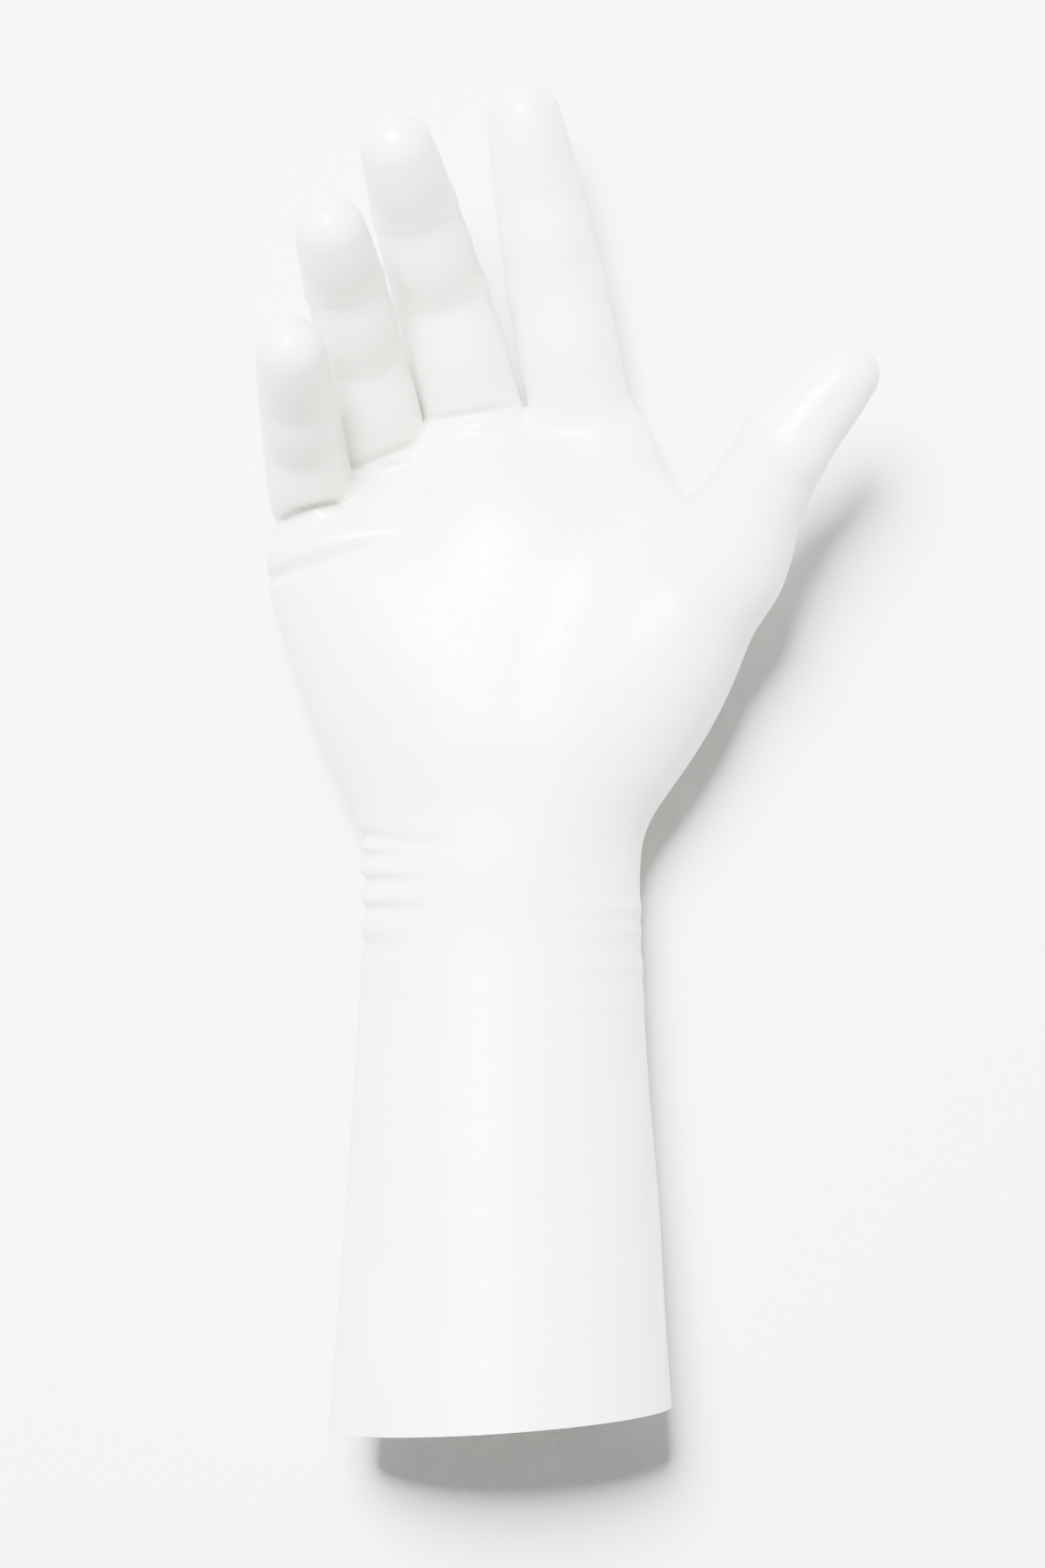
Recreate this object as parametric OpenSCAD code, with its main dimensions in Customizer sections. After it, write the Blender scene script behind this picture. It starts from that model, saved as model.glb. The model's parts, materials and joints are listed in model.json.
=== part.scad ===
// Long-cuff dipped latex glove for the right hand, in the shape it takes when worn.
//
// The real glove is one seamless film. Here the film is divided at its flexion creases:
// sleeves that keep their shape, and short crease zones between them that bend.
// Every sleeve and every zone is a thin hollow shell, open where the hand passes through.
//
// Frame: X points to the thumb, Y to the fingertips, Z up out of the palm.
// The glove lies on its back. Z = 0 is the surface that it rests on.
// The origin is under the middle of the glove's bounding box.

/* [Film] */
// Thickness of the dipped film
film = 0.4; // [0.3:0.1:0.8]
// Clearance between two zones that move apart
gap = 0.3; // [0.2:0.1:0.5]

/* [Cuff] */
// Distance from the wrist crease back to the cuff's edge, along the top
cuff_length = 119; // [80:1:200]
// Width of the cuff at its edge
mouth_w = 75; // [66:0.5:90]
// Height of the cuff at its edge
mouth_h = 58; // [46:0.5:70]
// How much further the edge reaches on the little-finger side than on the thumb side
mouth_slant = 5; // [0:0.5:10]

/* [Wrist] */
// Width of the wrist
wrist_w = 61; // [54:0.5:70]
// Height of the wrist
wrist_h = 42; // [36:0.5:48]
// Largest bend of the wrist towards the palm, and backwards, in degrees
wrist_bends = [45, 35]; // [0:1:50]
// Largest sideways bend towards the little finger, and towards the thumb, in degrees
wrist_leans = [25, 15]; // [0:1:30]

/* [Palm] */
// Height of the knuckle centres above the resting surface
knuckle_z = 14; // [12.5:0.5:18]
// Height of the palm at the knuckles
knuckle_h = 23; // [20:0.5:25]
// Top of the ball of the thumb above the resting surface
thenar_top = 42; // [36:0.5:46]
// Top of the palm's little-finger edge above the resting surface
hypothenar_top = 33; // [28:0.5:38]

/* [Index finger] */
// Where the finger leaves the palm, from the wrist's centre
index_root = [17, 103]; // [-60:1:120]
// Angle of the finger in plan, towards the little finger
index_splay = 11; // [-10:1:30]
// Lengths from knuckle crease to middle joint, to end joint, to tip
index_bones = [26, 22, 24.5]; // [14:0.5:36]
// Widths at the three joints and at the ball of the tip
index_widths = [22.4, 22.3, 19.2, 17]; // [12:0.1:26]
// Resting bends at the three joints, in degrees
index_bends = [10, 4, 2]; // [0:1:60]

/* [Middle finger] */
// Where the finger leaves the palm, from the wrist's centre
middle_root = [-6, 102]; // [-60:1:120]
// Angle of the finger in plan, towards the little finger
middle_splay = 17; // [-10:1:30]
// Lengths from knuckle crease to middle joint, to end joint, to tip
middle_bones = [27, 24, 26.5]; // [14:0.5:36]
// Widths at the three joints and at the ball of the tip
middle_widths = [21.6, 20.8, 18.8, 16.8]; // [12:0.1:26]
// Resting bends at the three joints, in degrees
middle_bends = [20, 22, 8]; // [0:1:60]

/* [Ring finger] */
// Where the finger leaves the palm, from the wrist's centre
ring_root = [-25, 92]; // [-60:1:120]
// Angle of the finger in plan, towards the little finger
ring_splay = 14; // [-10:1:30]
// Lengths from knuckle crease to middle joint, to end joint, to tip
ring_bones = [25, 22.5, 25]; // [14:0.5:36]
// Widths at the three joints and at the ball of the tip
ring_widths = [18, 17.6, 16.6, 15.2]; // [12:0.1:26]
// Resting bends at the three joints, in degrees
ring_bends = [35, 11, 9]; // [0:1:60]

/* [Little finger] */
// Where the finger leaves the palm, from the wrist's centre
little_root = [-42, 81]; // [-60:1:120]
// Angle of the finger in plan, towards the little finger
little_splay = 5; // [-10:1:30]
// Lengths from knuckle crease to middle joint, to end joint, to tip
little_bones = [20, 18, 23]; // [14:0.5:36]
// Widths at the three joints and at the ball of the tip
little_widths = [17.8, 17.4, 16.2, 14.8]; // [12:0.1:26]
// Resting bends at the three joints, in degrees
little_bends = [50, 8, 2]; // [0:1:60]

/* [Thumb] */
// Centre of the thumb's lower joint, from the wrist's centre
thumb_root = [49, 68, 34]; // [20:1:90]
// Angle of the thumb in plan, towards the little finger, so it is negative
thumb_splay = -27; // [-50:1:0]
// Lift of the thumb above the palm, in degrees
thumb_lift = 17; // [0:1:40]
// How far the thumb's pad is turned from facing up to facing the fingers, in degrees
thumb_roll = 50; // [0:1:80]
// Lengths from lower joint to end joint, to tip
thumb_bones = [28, 27]; // [18:0.5:40]
// Widths at the two joints and at the ball of the tip
thumb_widths = [23, 20.5, 16]; // [14:0.1:28]
// Resting bends at the two joints, in degrees
thumb_bends = [0, -20]; // [-30:1:40]

/* [Creases] */
// Half the length of a finger crease zone on the back of the finger
crease_half = [3, 3, 2.5]; // [2:0.5:5]
// Slope of a sleeve's palm-side ends, which makes room for the bend, in degrees
crease_slope = [38, 30, 26]; // [10:1:40]

/* [Hidden] */

// Sleeve colour and the slightly deeper tone of the crease zones
latex = [0.95, 0.94, 0.915];
latex_crease = [0.90, 0.885, 0.85];

// From the wrist's centre on the resting surface to the frame's origin
origin_shift = [-14.7, -25.54, 0];

// Points round a digit, and round the cuff and wrist
digit_n = 20;
arm_n = 36;
// Sides and thickness of the discs that the palm is blended over
disc_n = 28;
disc_t = 1;

// A digit is a little flatter than it is wide
flatness = 0.93;
// The bend axis lies this share of the half height above the digit's middle
axis_rise = 0.22;
// The first sleeve of a digit starts this far beyond its root joint, past the web
root_reach = 7;
// The palm's openings lie this far behind the root joints
root_back = 3;
// A fingertip's rounding is this much longer than its half width
tip_round = 1.12;
// Rings along the rounding, as shares of its length
tip_steps = [0.35, 0.6, 0.8, 0.94];
// Rings along a sleeve, as shares of its length
sleeve_steps = [0, 0.33, 0.67, 1];

// The thumb base swings about a line along Y, at this X and Z
thumb_swing = [33, 30];
// Slope of the thumb base's crease on its palm side and on its back, in degrees
thumb_base_slope = [12.5, 4.5];
// Half the width of the thumb base's crease at that line
thumb_base_half = 2;

// Places along Y where the wrist bends sideways and where it bends to the palm
side_y = -13;
bend_y = 8;
// Half the length of each wrist crease zone at its axis
wrist_half = 3;
// Height of the wrist's bend axes
wrist_z = wrist_h / 2;
// How far a wrist crease bulges, and how far the palm's film starts to widen
crease_bulge = 0.4;
palm_flare = 0.5;
// The arm's rings are cut flat underneath by this depth, where the glove rests
rest_depth = 1.2;
// Stations of the cuff: share of its length from the wrist, and its swell from wrist to mouth
cuff_swell = [[0, 0.03], [0.12, 0.06], [0.3, 0.24], [0.5, 0.45], [0.7, 0.66], [0.86, 0.84],
    [1, 1]];

// Upright discs that the palm is blended over: X, Y, half width and height
wrist_disc = [0, bend_y - 4, wrist_w / 2, wrist_h];
hollow_disc = [14, 60, 21, 29];
heel_disc = [-28, 42, 17.5, hypothenar_top - 4];
// The same for the palm's little-finger edge
edge_discs = [[-14, 12, 14, hypothenar_top], [-27.5, 40, 18, hypothenar_top],
    [-35, 72, 13, knuckle_h - 1]];
// How far the palm's blend runs past the finger roots before it is cut back
palm_over = 4;
// Each cut's reach to either side of its finger. It stops at the crotch beside a longer ray.
cut_size = 45;
root_cuts = [[-11.3, cut_size], [-cut_size, cut_size], [-cut_size, 9.8], [-cut_size, 9.6]];

// Discs under the ball of the thumb and under the web: centre, angle in plan, half sizes
thenar_wrist_disc = [[6, bend_y - 1, wrist_z - 1], 0, [wrist_w / 2 - 5, wrist_z - 1]];
thenar_disc = [[30, 42, thenar_top / 2 + 2], -20, [16, thenar_top / 2 - 2]];
web_discs = [[[12, 50, 15], -8, [16, 13]], [[19, 79, 15], -8, [12, 8]]];
// The web starts this far behind the thumb's root, and is this much lower than the thumb
web_back = 7;
web_drop = 5;

// A frame is [origin, across, along, up]. Bending turns it about across.
function turn(f, bend) = [f[0], f[1], f[2] * cos(bend) + f[3] * sin(bend),
    f[3] * cos(bend) - f[2] * sin(bend)];
function advance(f, d) = [f[0] + f[2] * d, f[1], f[2], f[3]];
function rolled(f, r) = [f[0], f[1] * cos(r) + f[3] * sin(r), f[2],
    f[3] * cos(r) - f[1] * sin(r)];
function flat_frame(p, splay) = [p, [cos(splay), sin(splay), 0],
    [-sin(splay), cos(splay), 0], [0, 0, 1]];

// A digit is [root frame, bones, widths, bends]
function finger(root, splay, bones, widths, bends) =
    [flat_frame([root[0], root[1], knuckle_z], splay), bones, widths, bends];
INDEX = finger(index_root, index_splay, index_bones, index_widths, index_bends);
MIDDLE = finger(middle_root, middle_splay, middle_bones, middle_widths, middle_bends);
RING = finger(ring_root, ring_splay, ring_bones, ring_widths, ring_bends);
LITTLE = finger(little_root, little_splay, little_bones, little_widths, little_bends);
THUMB = [rolled(turn(flat_frame(thumb_root, thumb_splay), thumb_lift), thumb_roll),
    thumb_bones, thumb_widths, thumb_bends];
FINGERS = [INDEX, MIDDLE, RING, LITTLE];
splays = [index_splay, middle_splay, ring_splay, little_splay];

// Frame at joint j, turned to lie along the bone that leaves it
function bone_frame(digit, j) = j == 0
    ? turn(digit[0], digit[3][0])
    : turn(advance(bone_frame(digit, j - 1), digit[1][j - 1]), digit[3][j]);
// Frame at joint j, still lying along the bone that reaches it
function arriving_frame(digit, j) = j == 0
    ? digit[0]
    : advance(bone_frame(digit, j - 1), digit[1][j - 1]);

// One elliptical ring. Its palm side, above the bend axis, is shifted along by slope.
function ring(f, a, b, slope = 0, n = digit_n) = [for (k = [0:n - 1])
    let (x = a * cos(360 * k / n), z = b * sin(360 * k / n))
    f[0] + f[1] * x + f[3] * z + f[2] * (slope * max(0, z - axis_rise * b))];
// A digit's ring at distance d along frame f, for a width w, inset by t
function digit_ring(f, d, w, slope, t) =
    ring(advance(f, d), w / 2 - t, w / 2 * flatness - t, slope);

// A closed shell from rings outside and inside. Each list runs along the shell.
module shell(outer, inner) {
    n = len(outer[0]);
    m = len(outer);
    points = [for (r = concat(outer, inner)) for (p = r) p];
    side = [for (i = [0:m - 2]) for (k = [0:n - 1]) let (j = (k + 1) % n)
        [i * n + k, i * n + j, (i + 1) * n + j, (i + 1) * n + k]];
    lining = [for (q = side) [for (c = [3:-1:0]) q[c] + m * n]];
    start = [for (k = [0:n - 1]) let (j = (k + 1) % n) [j, k, m * n + k, m * n + j]];
    finish = [for (k = [0:n - 1]) let (j = (k + 1) % n, e = (m - 1) * n)
        [e + k, e + j, e + m * n + j, e + m * n + k]];
    quads = concat(side, lining, start, finish);
    polyhedron(points, [for (q = quads) each [[q[0], q[1], q[2]], [q[0], q[2], q[3]]]]);
}

// The same with a closed far end: outer and inner each end at a pole point
module cap(outer, inner, outer_pole, inner_pole) {
    n = len(outer[0]);
    m = len(outer);
    points = concat([for (r = concat(outer, inner)) for (p = r) p], [outer_pole, inner_pole]);
    side = [for (i = [0:m - 2]) for (k = [0:n - 1]) let (j = (k + 1) % n)
        [i * n + k, i * n + j, (i + 1) * n + j, (i + 1) * n + k]];
    lining = [for (q = side) [for (c = [3:-1:0]) q[c] + m * n]];
    start = [for (k = [0:n - 1]) let (j = (k + 1) % n) [j, k, m * n + k, m * n + j]];
    quads = concat(side, lining, start);
    e = (m - 1) * n;
    ends = [for (k = [0:n - 1]) let (j = (k + 1) % n)
        each [[e + k, e + j, 2 * m * n], [e + m * n + j, e + m * n + k, 2 * m * n + 1]]];
    polyhedron(points,
        concat([for (q = quads) each [[q[0], q[1], q[2]], [q[0], q[2], q[3]]]], ends));
}

// Where sleeve j starts and ends along its bone, and the slopes of its ends
function sleeve_span(digit, j) = [j == 0 ? root_reach : crease_half[j],
    digit[1][j] - crease_half[j + 1]];
function sleeve_slope(j) = tan(crease_slope[j]);

// Rings of sleeve j, inset by t
function sleeve_rings(digit, j, t) =
    let (f = bone_frame(digit, j), s = sleeve_span(digit, j), w = digit[2])
    [for (u = sleeve_steps)
        let (d = s[0] + (s[1] - s[0]) * u, v = d / digit[1][j])
        digit_ring(f, d, w[j] + (w[j + 1] - w[j]) * v,
            (1 - u) * sleeve_slope(j) - u * sleeve_slope(j + 1), t)];

module digit_sleeve(digit, j) {
    color(latex) shell(sleeve_rings(digit, j, 0), sleeve_rings(digit, j, film));
}

// Rings of the tip beyond joint j, inset by t, and its pole
function tip_rings(digit, j, t) =
    let (f = bone_frame(digit, j), w = digit[2], r = w[j + 1] / 2,
        round_l = r * tip_round, c = digit[1][j] - round_l, d0 = crease_half[j])
    concat([for (u = [0, 0.5, 1])
            digit_ring(f, d0 + (c - d0) * u,
                w[j] + (w[j + 1] - w[j]) * (d0 + (c - d0) * u) / c,
                (1 - u) * (1 - u) * sleeve_slope(j), t)],
        [for (u = tip_steps) let (k = sqrt(1 - u * u))
            ring(advance(f, c + (round_l - t) * u), (r - t) * k, (r * flatness - t) * k)]);
function tip_pole(digit, j, t) = advance(bone_frame(digit, j), digit[1][j] - t)[0];

module digit_tip(digit, j) {
    color(latex) cap(tip_rings(digit, j, 0), tip_rings(digit, j, film),
        tip_pole(digit, j, 0), tip_pole(digit, j, film));
}

// Rings of the crease zone at joint j. It leaves a gap before the part that moves.
function crease_rings(digit, j, t, back, height) =
    let (w = digit[2], reach = j == 0 ? root_reach : crease_half[j],
        in = arriving_frame(digit, j), out = bone_frame(digit, j),
        mid = turn(in, digit[3][j] / 2), wa = j == 0 ? 0 : w[j - 1] - w[j],
        wb = w[j + 1] - w[j], la = j == 0 ? 1 : digit[1][j - 1])
    [ring(advance(in, -back), w[j] / 2 + wa * back / la / 2 - t,
            height / 2 + wa * back / la / 2 * flatness - t,
            j == 0 ? 0 : -sleeve_slope(j)),
        ring(mid, w[j] / 2 - t, w[j] / 2 * flatness - t),
        digit_ring(out, reach - gap, w[j] + wb * (reach - gap) / digit[1][j],
            sleeve_slope(j), t)];

module digit_crease(digit, j, back, height) {
    color(latex_crease)
        shell(crease_rings(digit, j, 0, back, height),
            crease_rings(digit, j, film, back, height));
}
// Crease zones between two sleeves, and at a finger's root where it meets the palm
module joint_crease(digit, j) {
    digit_crease(digit, j, crease_half[j], digit[2][j] * flatness);
}
module root_crease(digit) { digit_crease(digit, 0, root_back, knuckle_h); }

// One flat-bottomed ring round the arm at y, with half width a, height h and centre x.
// The ring's points shift along Y by the slopes: little-finger side, thumb side,
// palm side and back.
function arm_ring(y, a, h, t, slopes = [0, 0, 0, 0]) =
    [for (k = [0:arm_n - 1])
        let (c = cos(360 * k / arm_n), s = sin(360 * k / arm_n),
            x = (a - t) * c, r = (h + rest_depth) / 2,
            z = max(t, r - rest_depth + (r - t) * s),
            zc = z - wrist_z)
        [x, y + slopes[0] * max(0, -x) + slopes[1] * max(0, x)
            + slopes[2] * max(0, zc) + slopes[3] * max(0, -zc), z]];

// Slope that lets two faces meet at the end of a bend, a distance r from the axis
function free_slope(bend, r) = tan(max(0, bend / 2 - atan(wrist_half / r)) + 1);
side_slopes = [free_slope(wrist_leans[0], wrist_w / 2), free_slope(wrist_leans[1], wrist_w / 2),
    0, 0];
bend_slopes = [0, 0, free_slope(wrist_bends[0], wrist_z), free_slope(wrist_bends[1], wrist_z)];

// Rings of the cuff from its edge to the wrist, inset by t
cuff_start = side_y - wrist_half;
function cuff_rings(t) = [for (i = [len(cuff_swell) - 1:-1:0])
    let (s = cuff_swell[i], y = cuff_start - (cuff_length + cuff_start) * s[0],
        edge = mouth_slant / mouth_w * s[0],
        back = (1 - s[0]) * (1 - s[0]))
    arm_ring(y, (wrist_w + (mouth_w - wrist_w) * s[1]) / 2,
        wrist_h + (mouth_h - wrist_h) * s[1], t,
        [-edge - side_slopes[0] * back, edge - side_slopes[1] * back, 0, 0])];

module cuff() { color(latex) shell(cuff_rings(0), cuff_rings(film)); }

// Rings of the wrist's parts, from the cuff to the palm
cuff_end_w = wrist_w + (mouth_w - wrist_w) * cuff_swell[0][1];
cuff_end_h = wrist_h + (mouth_h - wrist_h) * cuff_swell[0][1];
function cuff_end(t) = arm_ring(cuff_start, cuff_end_w / 2, cuff_end_h, t, -side_slopes);
function band_start(t, d = 0) =
    arm_ring(side_y + wrist_half - d, wrist_w / 2, wrist_h, t, side_slopes);
function band_end(t) = arm_ring(bend_y - wrist_half, wrist_w / 2, wrist_h, t, -bend_slopes);
function palm_start(t, d) =
    arm_ring(bend_y + wrist_half - d, wrist_w / 2 + palm_flare, wrist_h, t, bend_slopes);
function crease_ring(y, t) = arm_ring(y, wrist_w / 2 + crease_bulge, wrist_h + crease_bulge, t);
function side_crease_rings(t) = [cuff_end(t), crease_ring(side_y, t), band_start(t, gap)];
function palm_crease_rings(t) = [band_end(t), crease_ring(bend_y, t), palm_start(t, gap)];

module wrist_side_crease() {
    color(latex_crease) shell(side_crease_rings(0), side_crease_rings(film));
}
module wrist_band() {
    color(latex) shell([band_start(0), band_end(0)], [band_start(film), band_end(film)]);
}
module wrist_palm_crease() {
    color(latex_crease) shell(palm_crease_rings(0), palm_crease_rings(film));
}

// An elliptical disc in frame f, with half width a and half height b
module disc(f, a, b) {
    m = [[f[1][0], f[2][0], f[3][0], f[0][0]],
        [f[1][1], f[2][1], f[3][1], f[0][1]],
        [f[1][2], f[2][2], f[3][2], f[0][2]],
        [0, 0, 0, 1]];
    multmatrix(m) scale([a, 1, b]) rotate([90, 0, 0])
        cylinder(r = 1, h = disc_t, $fn = disc_n, center = true);
}
// An upright disc that stands on the resting surface, inset by t
module arm_disc(d, t) {
    disc(flat_frame([d[0], d[1], d[3] / 2], 0), d[2] - t, d[3] / 2 - t);
}
// An upright disc turned in plan, inset by t and moved back by t too if it is an end
module turned_disc(d, t, back = 0) {
    disc(flat_frame(d[0] - [0, back, 0], d[1]), d[2][0] - t, d[2][1] - t);
}
// A disc round digit's root, distance d along it
module root_disc(digit, d, h, t) {
    disc(advance(digit[0], d), digit[2][0] / 2 - t, h / 2 - t);
}

// The solid that the palm's film covers, inset by t
module palm_solid(t) {
    difference() {
        union() {
            hull() {
                arm_disc(wrist_disc, t);
                arm_disc(heel_disc, t);
                arm_disc(hollow_disc, t);
                for (digit = FINGERS) root_disc(digit, palm_over, knuckle_h, t);
            }
            hull() {
                for (d = edge_discs) arm_disc(d, t);
            }
        }
        for (i = [0:3]) {
            f = advance(FINGERS[i][0], -root_back - t);
            translate(f[0]) rotate([0, 0, splays[i]])
                translate([root_cuts[i][0], 0, -cut_size])
                    cube([root_cuts[i][1] - root_cuts[i][0], 2 * cut_size, 2 * cut_size]);
        }
    }
}
// The solid under the ball of the thumb and the web beside it, inset by t
module thenar_solid(t) {
    hull() {
        turned_disc(thenar_wrist_disc, t);
        turned_disc(thenar_disc, t);
        root_disc(THUMB, -root_back - disc_t / 2 - t, thumb_widths[0] * flatness, t);
    }
    hull() {
        turned_disc(web_discs[0], t);
        turned_disc(web_discs[1], t, t);
        root_disc(THUMB, -root_back - web_back - t, thumb_widths[0] * flatness - web_drop, t);
    }
}

// The film over the palm and the thumb's base, open at the wrist and at the five digits
module hand_shell() {
    difference() {
        union() {
            palm_solid(0);
            thenar_solid(0);
        }
        palm_solid(film);
        thenar_solid(film);
        for (digit = FINGERS) root_disc(digit, -root_back, knuckle_h, film);
        root_disc(THUMB, -root_back, thumb_widths[0] * flatness, film);
    }
}

// A block behind the sloping face where the palm's film starts
module palm_side_of_wrist() {
    reach = 60;
    y = bend_y + wrist_half;
    rotate([90, 0, 90]) translate([0, 0, -3 * reach]) linear_extrude(6 * reach)
        polygon([[y + bend_slopes[3] * wrist_z, 0], [y, wrist_z],
            [y + bend_slopes[2] * wrist_z, wrist_h], [y + bend_slopes[2] * reach, 2 * reach],
            [3 * reach, 2 * reach], [3 * reach, -reach],
            [y + bend_slopes[3] * wrist_z, -reach]]);
}
// A block on the thumb's side of the line that the thumb base swings about.
// It starts at half width w and slopes away from the line.
module thumb_side_of(w) {
    reach = 70;
    rotate([90, 0, 0]) translate([thumb_swing[0], thumb_swing[1], -3 * reach])
        linear_extrude(4 * reach)
            polygon([[w + tan(thumb_base_slope[1]) * reach, -reach], [w, 0],
                [w + tan(thumb_base_slope[0]) * reach, reach], [2 * reach, reach],
                [2 * reach, -reach]]);
}

module palm() {
    color(latex) intersection() {
        hand_shell();
        palm_side_of_wrist();
        translate([2 * thumb_swing[0], 0, 0]) mirror([1, 0, 0]) thumb_side_of(thumb_base_half);
    }
}
module thumb_base_crease() {
    color(latex_crease) difference() {
        intersection() {
            hand_shell();
            palm_side_of_wrist();
        }
        translate([2 * thumb_swing[0], 0, 0]) mirror([1, 0, 0]) thumb_side_of(thumb_base_half);
        thumb_side_of(thumb_base_half - gap);
    }
}
module thumb_base() {
    color(latex) intersection() {
        hand_shell();
        palm_side_of_wrist();
        thumb_side_of(thumb_base_half);
    }
}

module thumb_lower_crease() {
    digit_crease(THUMB, 0, root_back, thumb_widths[0] * flatness);
}
module thumb_lower_sleeve() { digit_sleeve(THUMB, 0); }
module thumb_end_crease() { joint_crease(THUMB, 1); }
module thumb_tip() { digit_tip(THUMB, 1); }

module index_root_crease() { root_crease(INDEX); }
module index_lower_sleeve() { digit_sleeve(INDEX, 0); }
module index_middle_crease() { joint_crease(INDEX, 1); }
module index_middle_sleeve() { digit_sleeve(INDEX, 1); }
module index_end_crease() { joint_crease(INDEX, 2); }
module index_tip() { digit_tip(INDEX, 2); }

module middle_root_crease() { root_crease(MIDDLE); }
module middle_lower_sleeve() { digit_sleeve(MIDDLE, 0); }
module middle_middle_crease() { joint_crease(MIDDLE, 1); }
module middle_middle_sleeve() { digit_sleeve(MIDDLE, 1); }
module middle_end_crease() { joint_crease(MIDDLE, 2); }
module middle_tip() { digit_tip(MIDDLE, 2); }

module ring_root_crease() { root_crease(RING); }
module ring_lower_sleeve() { digit_sleeve(RING, 0); }
module ring_middle_crease() { joint_crease(RING, 1); }
module ring_middle_sleeve() { digit_sleeve(RING, 1); }
module ring_end_crease() { joint_crease(RING, 2); }
module ring_tip() { digit_tip(RING, 2); }

module little_root_crease() { root_crease(LITTLE); }
module little_lower_sleeve() { digit_sleeve(LITTLE, 0); }
module little_middle_crease() { joint_crease(LITTLE, 1); }
module little_middle_sleeve() { digit_sleeve(LITTLE, 1); }
module little_end_crease() { joint_crease(LITTLE, 2); }
module little_tip() { digit_tip(LITTLE, 2); }

translate(origin_shift) {
    cuff();
    wrist_side_crease();
    wrist_band();
    wrist_palm_crease();
    palm();
    thumb_base_crease();
    thumb_base();
    thumb_lower_crease();
    thumb_lower_sleeve();
    thumb_end_crease();
    thumb_tip();
    index_root_crease();
    index_lower_sleeve();
    index_middle_crease();
    index_middle_sleeve();
    index_end_crease();
    index_tip();
    middle_root_crease();
    middle_lower_sleeve();
    middle_middle_crease();
    middle_middle_sleeve();
    middle_end_crease();
    middle_tip();
    ring_root_crease();
    ring_lower_sleeve();
    ring_middle_crease();
    ring_middle_sleeve();
    ring_end_crease();
    ring_tip();
    little_root_crease();
    little_lower_sleeve();
    little_middle_crease();
    little_middle_sleeve();
    little_end_crease();
    little_tip();
}
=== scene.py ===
import json
import math

import bmesh
import bpy
import numpy as np
import openvdb as vdb
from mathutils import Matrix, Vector

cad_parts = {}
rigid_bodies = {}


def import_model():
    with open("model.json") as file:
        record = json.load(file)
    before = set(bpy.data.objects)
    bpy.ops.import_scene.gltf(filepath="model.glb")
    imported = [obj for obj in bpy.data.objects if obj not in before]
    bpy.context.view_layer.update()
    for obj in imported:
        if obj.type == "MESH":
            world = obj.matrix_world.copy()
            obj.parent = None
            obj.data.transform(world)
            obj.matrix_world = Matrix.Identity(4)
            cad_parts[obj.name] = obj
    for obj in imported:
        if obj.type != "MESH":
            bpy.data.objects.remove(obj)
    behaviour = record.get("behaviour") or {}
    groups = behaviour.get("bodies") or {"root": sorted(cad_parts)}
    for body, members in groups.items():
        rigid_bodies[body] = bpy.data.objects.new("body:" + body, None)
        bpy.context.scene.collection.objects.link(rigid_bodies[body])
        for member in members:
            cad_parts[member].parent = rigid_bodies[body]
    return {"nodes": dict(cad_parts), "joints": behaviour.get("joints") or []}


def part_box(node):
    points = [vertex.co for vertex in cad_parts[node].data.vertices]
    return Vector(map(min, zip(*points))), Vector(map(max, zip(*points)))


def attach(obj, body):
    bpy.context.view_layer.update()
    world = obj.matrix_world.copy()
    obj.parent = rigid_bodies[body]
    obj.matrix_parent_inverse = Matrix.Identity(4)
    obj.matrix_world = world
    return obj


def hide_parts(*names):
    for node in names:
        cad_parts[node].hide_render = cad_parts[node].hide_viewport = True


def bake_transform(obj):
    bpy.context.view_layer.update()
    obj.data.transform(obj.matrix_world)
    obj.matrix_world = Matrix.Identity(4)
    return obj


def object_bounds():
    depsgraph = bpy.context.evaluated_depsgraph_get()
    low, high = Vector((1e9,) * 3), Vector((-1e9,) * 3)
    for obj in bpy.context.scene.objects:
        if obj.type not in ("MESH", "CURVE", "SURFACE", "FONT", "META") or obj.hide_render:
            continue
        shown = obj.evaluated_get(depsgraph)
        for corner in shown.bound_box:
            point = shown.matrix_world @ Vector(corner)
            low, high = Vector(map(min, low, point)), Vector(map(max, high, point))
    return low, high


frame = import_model()
cad_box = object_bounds()

# The glove is made as one continuous surface, as it is dipped. It is then divided into
# pieces at the joints. Lengths here are in millimetres until the end.
MM = 0.001
VOXEL = 0.75
FILM = 0.4
# Keeps a division by a length from failing where the length is zero
TINY = 1e-6
# A digit is a little flatter than it is wide
FLATNESS = 0.93
# A bend axis lies this share of the digit's width above its middle
AXIS_RISE = 0.102

joints = {joint["name"]: joint for joint in frame["joints"]}


# ---------------------------------------------------------------- places from the frame
def joint_at(name):
    return np.array(joints[name]["pos_m"]) / MM


def unit(vector):
    vector = np.asarray(vector, float)
    return vector / np.linalg.norm(vector)


def node_points(name):
    mesh = frame["nodes"][name].data
    points = np.zeros(len(mesh.vertices) * 3, np.float32)
    mesh.vertices.foreach_get("co", points)
    return points.reshape(-1, 3) / MM


def node_size(name):
    low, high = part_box(name)
    return np.array(high - low) / MM


# The wrist's centre on the surface that the glove lies on
BEND_TO_WRIST = np.array([0, 8, 0])
wrist = joint_at("wrist_palm_bend") * (1, 1, 0) - BEND_TO_WRIST


def hand(x, y, z):
    """A point given from the wrist's centre: x to the thumb, y to the fingers, z up."""
    return wrist + (x, y, z)


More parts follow.
